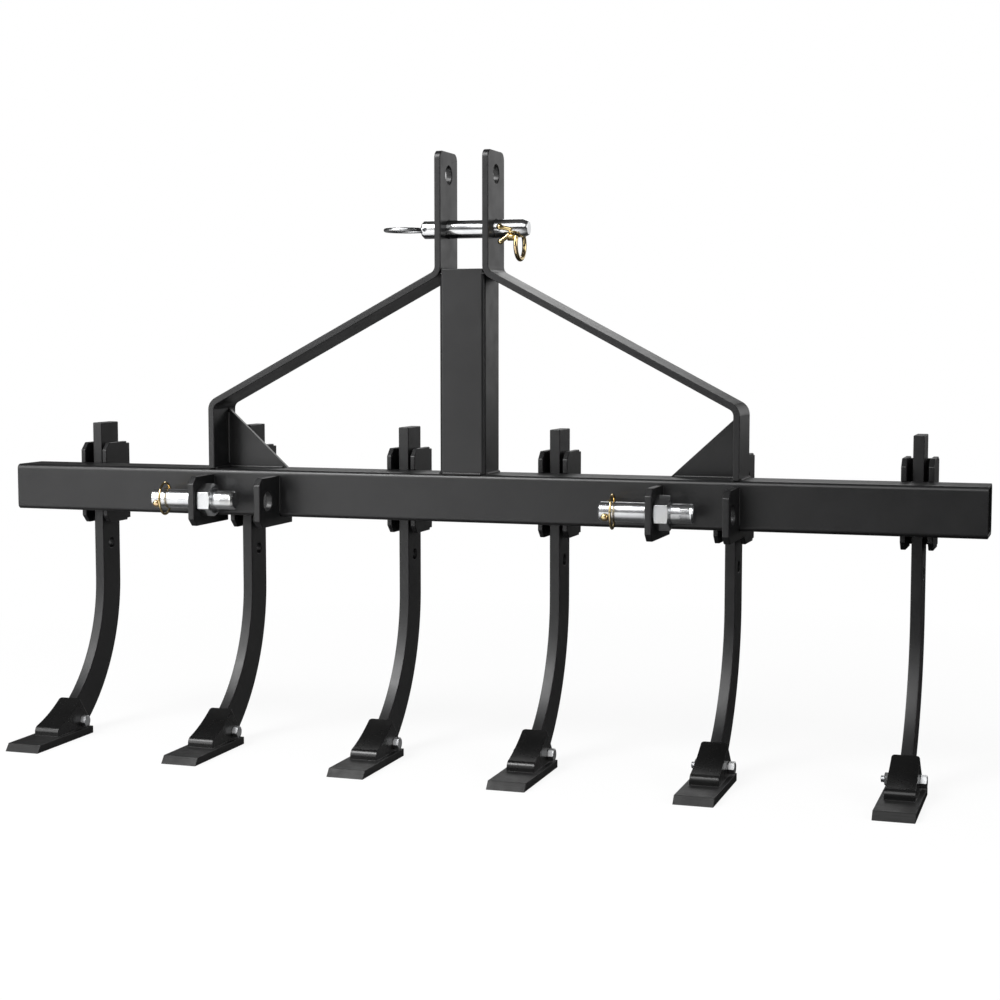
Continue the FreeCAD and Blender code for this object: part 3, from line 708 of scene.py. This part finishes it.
def rollLip(piece):
    # widens the round of the boot's lip about the corner in which its two flats would meet
    lipY = shareLow[1] + lipRoll["setIn"]
    roundZ = shareLow[2] + lipRoll["roundLow"]
    turned = math.radians(90 - lipRoll["coverSlope"])
    cornerZ = roundZ + lipRoll["roundRadius"] * math.tan(turned / 2)
    grow = lipRoll["grow"]
    pickPoints(piece, lambda point: point.y < lipY + lipRoll["depth"] and point.z > roundZ - near)
    bpy.ops.transform.resize(value=(1, grow, grow), center_override=(0, lipY, cornerZ))
    endEdit()


boltHead, boltNut, boltTip = makeShareBolt()
for number in range(1, shankCount + 1):
    body = f"shank_assembly_{number}"
    shankPiece = copyNode(f"shank_{number}", f"shank_{number}_bar")
    mergeFlats(shankPiece)
    softenEdges(shankPiece, shankRound)
    finishPiece(shankPiece, barCoat, body, "black_paint", f"shank_{number}")

    nodeName = f"share_{number}"
    middle = middleOf(f"shank_{number}")
    sharePiece = copyNode(nodeName, nodeName + "_boot")
    cutBoltOff(sharePiece, middle)
    mergeFlats(sharePiece)
    rollLip(sharePiece)
    softenEdges(sharePiece, shareRound)
    finishPiece(sharePiece, bootCoat, body, "share_paint", nodeName)
    sharePiece.data.materials.append(solePaint)
    for face in sharePiece.data.polygons:
        if face.center.z < floorZ + soleHeight:
            face.material_index = 1

    headX, nutX = middle + shareBolt["seat"], middle - shareBolt["seat"]
    boltPieces = [
        copyPiece(boltHead, "head", (headX, boltY, boltZ)),
        copyPiece(boltNut, "nut", (nutX, boltY, boltZ), towardsLeft),
        copyPiece(boltTip, "tip", (nutX - shareBolt["nutHeight"], boltY, boltZ), towardsLeft),
    ]
    boltPiece = joinPieces(f"share_bolt_{number}", boltPieces)
    finishPiece(boltPiece, boltZinc, body, "bright_zinc")
removeModels(boltHead, boltNut, boltTip)
print("shanks and shares done")


# lower hitch pins, their nuts and lynch pins
pinSides = 64
pinAngle = 24
lowerPin = {
    "radius": 0.0120, "length": 0.0595, "bevel": 0.0020,
    "collar": 0.0135, "collarLength": 0.0040, "collarBevel": 0.0005, "step": 0.0001,
    "earThickness": 0.0080, "neckEnd": 0.0010, "neckDepth": 0.0004,
    "threadFrom": 0.0015, "threadLength": 0.0458, "threadRadius": 0.0118, "pitch": 0.0015, "depth": 0.0003,
    "endCone": 0.0022, "endDepth": 0.0018,
    "nutFlats": 0.0360, "nutHeight": 0.0185, "nutTurn": 30, "nutBore": 0.0117, "boreEnds": (-0.0100, 0.0300),
    "lynchSetback": 0.0090, "lynchHole": 0.0042,
}
lynchPin = {
    "radius": 0.0040, "tipReach": 0.0170, "length": 0.0380, "tilt": 26,
    "ball": 0.0046, "neck": 0.0032, "shaftEnd": 0.0075, "neckFrom": 0.0066, "neckTo": 0.0056,
    "headWidth": 0.0092, "headDepth": 0.92, "headLength": 0.0080, "headRound": 0.0018, "shaftInside": 0.0006,
    "ringRadius": 0.0198, "wire": 0.0015, "ringShift": 0.0062, "ringTurn": 6, "ringGap": 22,
    # the ball tip: distance from the pin's end, and share of the ball's radius
    "ballSteps": [(0.0048, 0.86), (0.0036, 0.99), (0.0024, 1), (0.0014, 0.86), (0.0006, 0.6), (0, 0.2)],
}


def makeLowerPin():
    # the shoulder that rests on the ear is at zero, with the thread towards +X
    radius, bevel, ear = lowerPin["radius"], lowerPin["bevel"], lowerPin["earThickness"]
    collar, edge, step = lowerPin["collar"], lowerPin["collarBevel"], lowerPin["step"]
    start, collarStart = -lowerPin["length"], -lowerPin["collarLength"]
    tail = ear + lowerPin["threadLength"]
    threadEnd = tail - lowerPin["endCone"]
    threadRadius = lowerPin["threadRadius"]
    profile = [
        (start, radius - bevel), (start + bevel, radius), (collarStart, radius),
        (collarStart + 2 * step, collar - edge), (collarStart + 2 * step + edge, collar),
        (-step, collar), (step, radius), (ear + lowerPin["neckEnd"], radius - lowerPin["neckDepth"]),
    ]
    profile += threadProfile(
        ear + lowerPin["threadFrom"], threadEnd, threadRadius, lowerPin["pitch"], lowerPin["depth"]
    )
    profile += [(threadEnd, threadRadius), (tail, threadRadius - lowerPin["endDepth"])]
    pin = addTurned("lower_pin", profile, pinSides)
    drillCross(pin, start + lowerPin["lynchSetback"], lowerPin["lynchHole"], lynchPin["tilt"])
    smoothPiece(pin, pinAngle)
    return pin


def makeLowerNut():
    nut = addHex("lower_nut", lowerPin["nutFlats"], lowerPin["nutHeight"], lowerPin["nutTurn"])
    bore = addTurned("bore", [(end, lowerPin["nutBore"]) for end in lowerPin["boreEnds"]])
    trimWith(nut, bore, "DIFFERENCE")
    smoothPiece(nut, pinAngle)
    return nut


def makeLynchShaft(values):
    # made along X with the head block first and the ball tip last, then turned to point to -Y
    tip = values["tipReach"]
    head = tip - values["length"]
    length, width, radius = values["headLength"], values["headWidth"], values["radius"]
    profile = [
        (head + length - values["shaftInside"], radius), (tip - values["shaftEnd"], radius),
        (tip - values["neckFrom"], values["neck"]), (tip - values["neckTo"], values["neck"]),
    ]
    profile += [(tip - back, values["ball"] * part) for back, part in values["ballSteps"]]
    shaft = addTurned("lynch_shaft", profile, threadSides)
    smoothPiece(shaft, threadAngle)
    deselectAll()
    bpy.ops.mesh.primitive_cube_add(
        size=1, location=(head + length / 2, 0, 0), scale=(length, width, width * values["headDepth"])
    )
    block = takeNew("lynch_head")
    bakePlace(block)
    softenEdges(block, values["headRound"], steps=4, angle=30)
    lynch = joinPieces("lynch_shaft", [shaft, block])
    placePiece(lynch, turn=towardsFront)
    return lynch


def addWireRing(name, radius, wire, gapAngle=0, middleAngle=0):
    # a wire ring in the YZ plane, open over an angle where its ends go into their seat
    deselectAll()
    bpy.ops.mesh.primitive_torus_add(
        major_segments=72, minor_segments=16, major_radius=radius, minor_radius=wire, rotation=alongX
    )
    ring = takeNew(name)
    bakePlace(ring)
    if gapAngle:
        reach, centre = math.radians(gapAngle / 2), math.radians(middleAngle)

        def inGap(face, corners):
            angle = math.atan2(face.center.z, face.center.y) - centre
            return abs(math.atan2(math.sin(angle), math.cos(angle))) < reach

        cutAway(ring, inGap)
    smoothPiece(ring, angle=60)
    return ring


pinModel = makeLowerPin()
nutModel = makeLowerNut()
lynchModel = makeLynchShaft(lynchPin)
for sideName in ("left", "right"):
    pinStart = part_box("lower_pin_" + sideName)[0][0]
    shoulder = pinStart + lowerPin["length"]
    pinPiece = copyPiece(pinModel, f"lower_pin_{sideName}_turned", (shoulder, 0, 0))
    finishPiece(pinPiece, brightZinc, "frame", "bright_zinc", "lower_pin_" + sideName)
    nutPiece = copyPiece(nutModel, f"lower_nut_{sideName}_hex", (shoulder + lowerPin["earThickness"], 0, 0))
    finishPiece(nutPiece, brightZinc, "frame", "bright_zinc", "lower_nut_" + sideName)
    lynchX = pinStart + lowerPin["lynchSetback"]
    lynchPiece = copyPiece(lynchModel, "lynch", (lynchX, 0, 0), (lynchPin["tilt"], 0, 0))
    # the ring is open where the head block holds its ends
    ringValues = [lynchPin[key] for key in ("ringRadius", "wire", "ringGap", "tilt")]
    ring = addWireRing("ring", *ringValues)
    placePiece(ring, (lynchX + lynchPin["ringShift"], 0, 0), (0, 0, lynchPin["ringTurn"]))
    lynchPiece = joinPieces(f"lynch_pin_{sideName}_ringed", [lynchPiece, ring])
    finishPiece(lynchPiece, goldZinc, "frame", "yellow_zinc", "lynch_pin_" + sideName)
removeModels(pinModel, nutModel, lynchModel)
print("lower pins done")


# top link pin with its pull ring, and the lynch pin that hangs on it
topPin = {
    "radius": 0.0111, "left": -0.0602, "right": 0.0760, "taper": 0.0028, "taperLength": 0.0065,
    "tipBevel": 0.0005, "tipRise": 0.0002, "lynchX": 0.0575, "lynchTilt": 38,
    "pullRadius": 0.0250, "pullWire": 0.0024, "pullX": -0.0830, "pullHole": 0.0028, "pullSetback": 0.0060,
}
pinLow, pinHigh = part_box("top_link_pin")
topY, topZ = (pinLow[1] + pinHigh[1]) / 2, (pinLow[2] + pinHigh[2]) / 2
taperSmall = topPin["radius"] - topPin["taper"]
topProfile = [
    (topPin["left"], taperSmall),
    (topPin["left"] + topPin["taper"], topPin["radius"]),
    (topPin["right"] - topPin["taperLength"], topPin["radius"]),
    (topPin["right"] - topPin["tipBevel"], taperSmall + topPin["tipRise"]),
    (topPin["right"], taperSmall - topPin["tipBevel"]),
]
topPiece = addTurned("top_link_pin_turned", topProfile, pinSides)
drillCross(topPiece, topPin["lynchX"], lowerPin["lynchHole"], topPin["lynchTilt"])
drillCross(topPiece, topPin["left"] + topPin["pullSetback"], topPin["pullHole"])
smoothPiece(topPiece, pinAngle)
placePiece(topPiece, (0, topY, topZ))
finishPiece(topPiece, polishedZinc, "frame", "bright_zinc", "top_link_pin")

pullRing = addWireRing("pull_ring", topPin["pullRadius"], topPin["pullWire"])
placePiece(pullRing, (topPin["pullX"], topY, topZ), (0, 90, 0))
finishPiece(pullRing, polishedZinc, "frame", "bright_zinc")

topLynch = {
    "tipReach": 0.0132, "length": 0.0345,
    "ringPlace": (0.0642, 0.066, 0.3145), "ringRadius": 0.0176, "wire": 0.0027, "gap": 95, "gapMiddle": 102,
    # start, end, wire radius and ball radius of the two wire ends
    "wireEnds": [
        ((0.0585, 0.0485, 0.3320), (0.0402, 0.0475, 0.3362), 0.0027, 0.0040),
        ((0.0560, 0.0485, 0.3255), (0.0426, 0.0475, 0.3156), 0.0028, 0.0036),
    ],
    # the balls on them: distance from the end and radius, as shares of the ball's radius
    "wireThick": 1.9,
    "ballSteps": [(1.7, 0.8), (1.3, 0.96), (0.9, 1), (0.5, 0.86), (0.2, 0.6), (0, 0.2)],
}


def addWireEnd(start, end, wire, ball):
    length = (Vector(end) - Vector(start)).length
    profile = [(0, wire), (length - ball * topLynch["wireThick"], wire)]
    profile += [(length - ball * back, ball * part) for back, part in topLynch["ballSteps"]]
    rod = addTurned("wire_end", profile, sides=24)
    aimPiece(rod, start, end)
    smoothPiece(rod, threadAngle)
    return rod


lynchValues = dict(lynchPin, tipReach=topLynch["tipReach"], length=topLynch["length"])
lynchPiece = makeLynchShaft(lynchValues)
placePiece(lynchPiece, (topPin["lynchX"], topY, topZ), (topPin["lynchTilt"] + 180, 0, 0))
ring = addWireRing("ring", topLynch["ringRadius"], topLynch["wire"], topLynch["gap"], topLynch["gapMiddle"])
placePiece(ring, topLynch["ringPlace"])
wireEnds = [addWireEnd(*values) for values in topLynch["wireEnds"]]
lynchPiece = joinPieces("lynch_pin_top_ringed", [lynchPiece, ring] + wireEnds)
finishPiece(lynchPiece, goldZinc, "frame", "yellow_zinc", "lynch_pin_top")
print("top pin done")


# floor, world and lamps
studio = {
    "paper": 0.92, "paperRoughness": 0.9, "floorSize": 30.0,
    # the floor fades into the backdrop between these distances from the tool
    "glow": 0.88, "fadeFrom": 0.75, "fadeTo": 1.5,
    # the floor's tone in reflections, from this far in front to the tool, and darker to the right: painted
    # shade near the tool and on its right
    "frontDepth": -3.0, "paintedShadeInReflections": [(0.0, 0.80), (0.90, 0.85), (0.96, 0.14)],
    "paintedShadeRight": 0.15, "darkAt": 0.50, "lightAt": -0.10,
    # the world's strength for plain light, and in reflections behind the tool and elsewhere
    "worldFill": 0.35, "backdrop": 1.0, "surroundings": 0.05,
    "backdropBehind": (0.70, 0.92), "backdropToRight": (0.04, 0.30),
    "lamps": [
        # name, place, aim, width, height, watts
        ("keySoftbox", (-2.3, -2.5, 1.1), (0, 0, 0), 2.0, 2.0, 35),
        ("frontCard", (-1.22, -2.65, 0.65), (0, 0, 0.65), 0.9, 1.9, 3.2),
        ("highSoftbox", (-1.3, -1.7, 2.4), (0, 0, 0), 1.4, 1.4, 72),
        ("rightStrip", (2.9, -0.8, 0.9), (0, 0, 0.1), 0.6, 1.8, 13),
        ("frontBoom", (0.3, -2.3, 2.1), (0, 0, 0), 1.6, 2.0, 20),
        ("backFill", (-0.8, 3.6, 2.0), (0, 0, 0), 2.4, 1.6, 22),
        ("rightFill", (3.3, 0.0, 1.3), (0, 0, 0), 1.6, 1.6, 14),
    ],
}

# white paper floor: it takes the shadow near the tool and goes over into the white backdrop
deselectAll()
bpy.ops.mesh.primitive_plane_add(size=studio["floorSize"], location=(0, 0, floorZ))
floor = takeNew("floor")
floorMaterial, tree, shader, coords = newMaterial("floorPaper")
rays = tree.nodes.new("ShaderNodeLightPath")
axes = tree.nodes.new("ShaderNodeSeparateXYZ")
tree.links.new(coords, axes.inputs["Vector"])
# painted shade: in reflections the floor's colour is darker near the tool and towards its right, the paper
# itself is not
front = addLevels(tree, axes.outputs["Y"], 0.0, 1.0, studio["frontDepth"], 0.0)
reflected = addRamp(tree, front, [(place, (tone, tone, tone)) for place, tone in studio["paintedShadeInReflections"]])
paintedSideShade = addLevels(tree, axes.outputs["X"], studio["paintedShadeRight"], 1.0, studio["darkAt"], studio["lightAt"])
reflected = addMath(tree, "MULTIPLY", reflected, paintedSideShade)
tone = addLevels(tree, rays.outputs["Is Camera Ray"], reflected, studio["paper"])
tree.links.new(tone, shader.inputs["Base Color"])
shader.inputs["Roughness"].default_value = studio["paperRoughness"]
shader.inputs["Specular IOR Level"].default_value = 0.0
distance = tree.nodes.new("ShaderNodeVectorMath")
distance.operation = "LENGTH"
tree.links.new(coords, distance.inputs[0])
fade = addLevels(tree, distance.outputs["Value"], studio["glow"], 1.0, studio["fadeFrom"], studio["fadeTo"])
white = tree.nodes.new("ShaderNodeEmission")
blend = tree.nodes.new("ShaderNodeMixShader")
tree.links.new(addMath(tree, "MULTIPLY", fade, rays.outputs["Is Camera Ray"]), blend.inputs["Fac"])
tree.links.new(shader.outputs["BSDF"], blend.inputs[1])
tree.links.new(white.outputs["Emission"], blend.inputs[2])
tree.links.new(blend.outputs["Shader"], tree.nodes["Material Output"].inputs["Surface"])
floor.data.materials.append(floorMaterial)

# world: white to the eye, a white backdrop behind the tool in its reflections, plain fill for the rest
world = bpy.data.worlds.new("studioWorld")
bpy.context.scene.world = world
world.use_nodes = True
worldTree = world.node_tree
background = worldTree.nodes["Background"]
background.inputs["Color"].default_value = (1, 1, 1, 1)
rays = worldTree.nodes.new("ShaderNodeLightPath")
direction = worldTree.nodes.new("ShaderNodeTexCoord")
axes = worldTree.nodes.new("ShaderNodeSeparateXYZ")
worldTree.links.new(direction.outputs["Generated"], axes.inputs["Vector"])
behind = addLevels(worldTree, axes.outputs["Y"], 0.0, 1.0, *studio["backdropBehind"])
toRight = addLevels(worldTree, axes.outputs["X"], 0.0, 1.0, *studio["backdropToRight"])
behind = addMath(worldTree, "MULTIPLY", behind, toRight)
inReflections = addLevels(worldTree, behind, studio["surroundings"], studio["backdrop"])
mirrorRay = addMath(worldTree, "MAXIMUM", rays.outputs["Is Glossy Ray"], rays.outputs["Is Transmission Ray"])
level = addLevels(worldTree, mirrorRay, studio["worldFill"], inReflections)
level = addLevels(worldTree, rays.outputs["Is Camera Ray"], level, 1.0)
worldTree.links.new(level, background.inputs["Strength"])

for name, place, aim, width, height, watts in studio["lamps"]:
    lampData = bpy.data.lights.new(name, "AREA")
    lampData.shape = "RECTANGLE"
    lampData.size, lampData.size_y = width, height
    lampData.energy = watts
    lamp = bpy.data.objects.new(name, lampData)
    lamp.location = place
    lamp.rotation_euler = (Vector(aim) - Vector(place)).to_track_quat("-Z", "Y").to_euler()
    bpy.context.collection.objects.link(lamp)
bpy.context.scene.view_settings.view_transform = "Standard"
print("studio ready")
